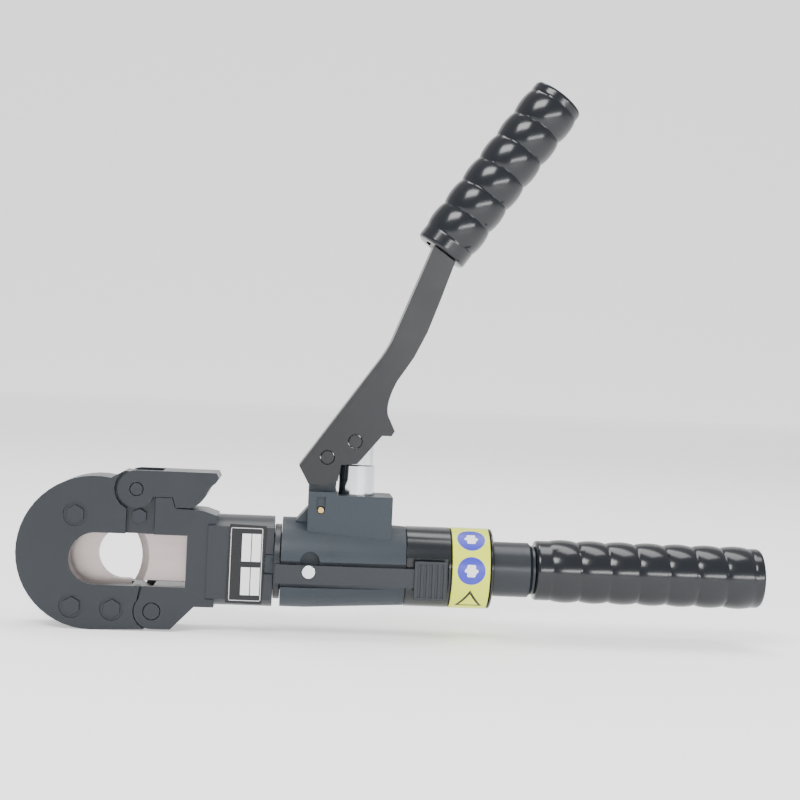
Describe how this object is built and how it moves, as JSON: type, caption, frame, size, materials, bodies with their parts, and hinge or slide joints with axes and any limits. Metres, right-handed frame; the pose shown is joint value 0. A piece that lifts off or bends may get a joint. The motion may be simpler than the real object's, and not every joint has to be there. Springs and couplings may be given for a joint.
{
  "type": "hydraulic cable cutter",
  "caption": "Hand-pumped hydraulic cutter: C-shaped jaw head with latch, blades, pump body with lever, ribbed rear grip.",
  "frame": {"origin": "centre of the flat rear end of the rear grip, on the tool axis", "axes": "+X from the head to the rear grip along the tool axis, +Z towards the pump lever, +Y across the tool"},
  "size_m": [0.3864, 0.0476, 0.2912],
  "materials": {
    "black": "satin",
    "cast": "fine cast texture",
    "lever": "satin",
    "grip": "gloss",
    "steel": "ground",
    "chrome": "polished",
    "brass": "plain",
    "seal": "matte",
    "band": "printed film",
    "plateface": "printed"
  },
  "bodies": {
    "housing": {"pump_housing": "cast", "swivel_ring": "black", "plunger_seal": "seal", "check_ball": "chrome", "relief_screw": "brass", "roll_pin": "brass", "lever_pivot_pin": "lever", "release_pivot_screw": "chrome", "rear_grip": "grip", "reservoir_collar": "grip", "warning_band": "band", "handle_tube": "black", "oil_bladder": "seal"},
    "head": {"head_body": "black", "nameplate": "plateface", "yoke_hinge_pin": "black"},
    "yoke_body": {"yoke": "black", "fixed_blade": "steel", "blade_bolt_1": "black", "blade_bolt_2": "black", "blade_bolt_3": "black", "blade_bolt_4": "black", "latch_pin": "black"},
    "latch_body": {"latch": "black"},
    "ram_body": {"ram": "chrome", "moving_blade": "steel"},
    "lever": {"lever_channel": "lever", "plunger_pin": "lever", "lever_grip": "grip", "lever_tang": "lever"},
    "plunger_body": {"plunger": "chrome"},
    "release": {"release_bar": "black"}
  },
  "joints": [
    {"name": "head_swivel", "type": "hinge", "parent": "housing", "child": "head", "pos_m": [-0.255, 0, 0], "axis": [1, 0, 0], "range_deg": [-175, 175]},
    {"name": "yoke_swing", "type": "hinge", "parent": "head", "child": "yoke_body", "pos_m": [-0.317, 0, -0.0264], "axis": [0, -1, 0], "range_deg": [0, 16]},
    {"name": "latch_lift", "type": "hinge", "parent": "yoke_body", "child": "latch_body", "pos_m": [-0.3271, 0, 0.0355], "axis": [0, -1, 0], "range_deg": [0, 64]},
    {"name": "ram_slide", "type": "slide", "parent": "head", "child": "ram_body", "axis": [-1, 0, 0], "range_m": [0, 0.0235]},
    {"name": "lever_pivot", "type": "hinge", "parent": "housing", "child": "lever", "pos_m": [-0.2312, 0, 0.0554], "axis": [0, 1, 0], "range_deg": [0, 54]},
    {"name": "plunger_slide", "type": "slide", "parent": "housing", "child": "plunger_body", "axis": [0, 0, -1], "range_m": [0, 0.01484]},
    {"name": "release_turn", "type": "hinge", "parent": "housing", "child": "release", "pos_m": [-0.2384, -0.021, -0.002], "axis": [0, 0, 1], "range_deg": [0, 2], "stiffness_Nm_per_rad": 0.5}
  ],
  "couplings": [
    {"joint": "latch_lift", "follows": "yoke_swing", "ratio": 4},
    {"joint": "plunger_slide", "follows": "lever_pivot", "m_per_rad": 0.01574}
  ]
}
